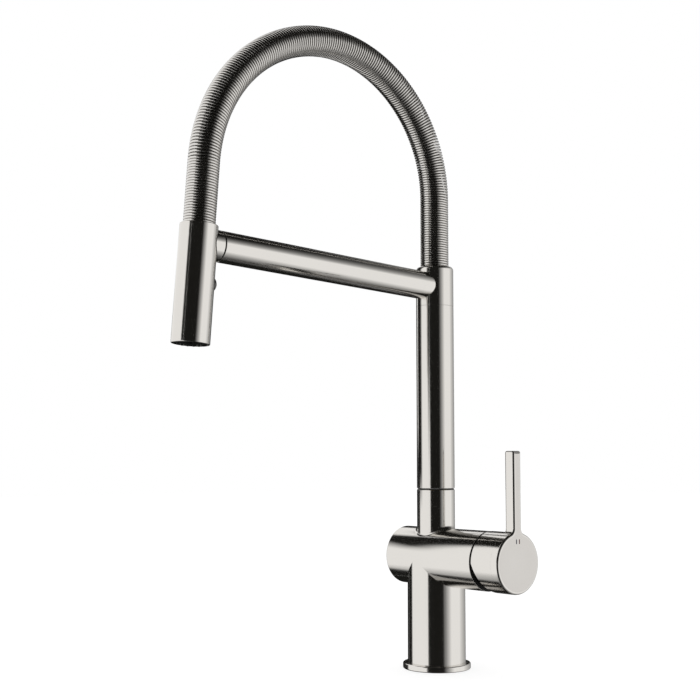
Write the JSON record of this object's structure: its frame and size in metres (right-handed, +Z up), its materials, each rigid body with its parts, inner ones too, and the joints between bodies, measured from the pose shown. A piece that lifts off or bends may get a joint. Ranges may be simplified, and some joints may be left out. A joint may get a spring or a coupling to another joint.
{
  "type": "kitchen mixer tap",
  "caption": "Single-hole kitchen mixer tap with a side lever, a swivel column, a docking arm and a spray head on a hose in an arched coil spring.",
  "frame": {"origin": "on the column's axis at the deck, under the base flange", "axes": "+Z up the column, the docking arm and spray head to -Y, the lever's barrel to +X"},
  "size_m": [0.1282, 0.2874, 0.5182],
  "materials": {
    "steel": "polished, warm grey",
    "spring_steel": "bright drawn wire",
    "brass": "turned",
    "black_rubber": "matt",
    "hose_rubber": "smooth sheath",
    "black_plastic": "moulded",
    "grey_plastic": "moulded",
    "white_plastic": "moulded",
    "ceramic": "lapped ceramic",
    "magnet": "nickelled magnet",
    "cold_blue": "filled mark",
    "hot_red": "filled mark"
  },
  "bodies": {
    "body": {"base_flange": "steel", "base_gasket": "black_rubber", "mixer_body": "steel", "swivel_spigot": "brass", "glide_ring": "black_plastic", "swivel_o_rings": "black_rubber", "swivel_circlip": "spring_steel", "cartridge_seal": "black_rubber", "cartridge_housing": "white_plastic", "fixed_disc": "ceramic", "cartridge_nut": "brass", "dome_cover": "black_plastic"},
    "column": {"column_tube": "steel", "swivel_bush": "white_plastic", "column_collar": "steel", "arm_tube": "steel", "arm_screw": "spring_steel", "dock_cradle": "steel", "dock_magnet": "magnet", "lower_nipple": "brass", "lower_ferrule": "spring_steel", "coil_spring": "spring_steel", "hose": "hose_rubber"},
    "lever_guide": {"lever_guide": "white_plastic", "pivot_pin": "spring_steel"},
    "disc": {"moving_disc": "ceramic", "disc_carrier": "white_plastic"},
    "handle": {"handle": "steel", "spindle": "brass", "handle_screw": "spring_steel", "handle_plug": "grey_plastic", "cold_mark": "cold_blue", "hot_mark": "hot_red"},
    "hose_end": {"upper_nipple": "brass", "upper_ferrule": "spring_steel"},
    "head": {"head_shell": "steel", "head_swivel_nut": "brass", "head_core": "white_plastic", "check_valve": "white_plastic", "head_o_ring": "black_rubber", "head_keeper": "spring_steel", "spray_face": "black_rubber", "aerator": "grey_plastic", "button_spring": "spring_steel"},
    "button": {"spray_button": "steel", "diverter_spool": "white_plastic"}
  },
  "joints": [
    {"name": "column_swivel", "type": "hinge", "parent": "body", "child": "column", "pos_m": [0, 0, 0.1481], "axis": [0, 0, 1], "continuous": true},
    {"name": "lever_turn", "type": "hinge", "parent": "body", "child": "lever_guide", "pos_m": [0.054, 0, 0.0914], "axis": [1, 0, 0], "range_deg": [-45, 45]},
    {"name": "lever_tilt", "type": "hinge", "parent": "lever_guide", "child": "handle", "pos_m": [0.054, 0, 0.0914], "axis": [0, 1, 0], "range_deg": [0, 18]},
    {"name": "disc_slide", "type": "slide", "parent": "lever_guide", "child": "disc", "axis": [0, 0, 1], "range_m": [0, 0.0031]},
    {"name": "head_pull", "type": "slide", "parent": "column", "child": "hose_end", "axis": [0, -0.9988, 0.0499], "range_m": [0, 0.06], "deforming": ["coil_spring", "hose"]},
    {"name": "head_spin", "type": "hinge", "parent": "hose_end", "child": "head", "pos_m": [0, -0.2397, 0.33053], "axis": [0, 0.0732, 0.9973], "continuous": true},
    {"name": "button_press", "type": "slide", "parent": "head", "child": "button", "axis": [0, -0.9973, 0.0732], "range_m": [0, 0.002], "stiffness_N_per_m": 300, "deforming": ["button_spring"]}
  ],
  "couplings": [
    {"joint": "disc_slide", "follows": "lever_tilt", "m_per_rad": 0.0098}
  ]
}
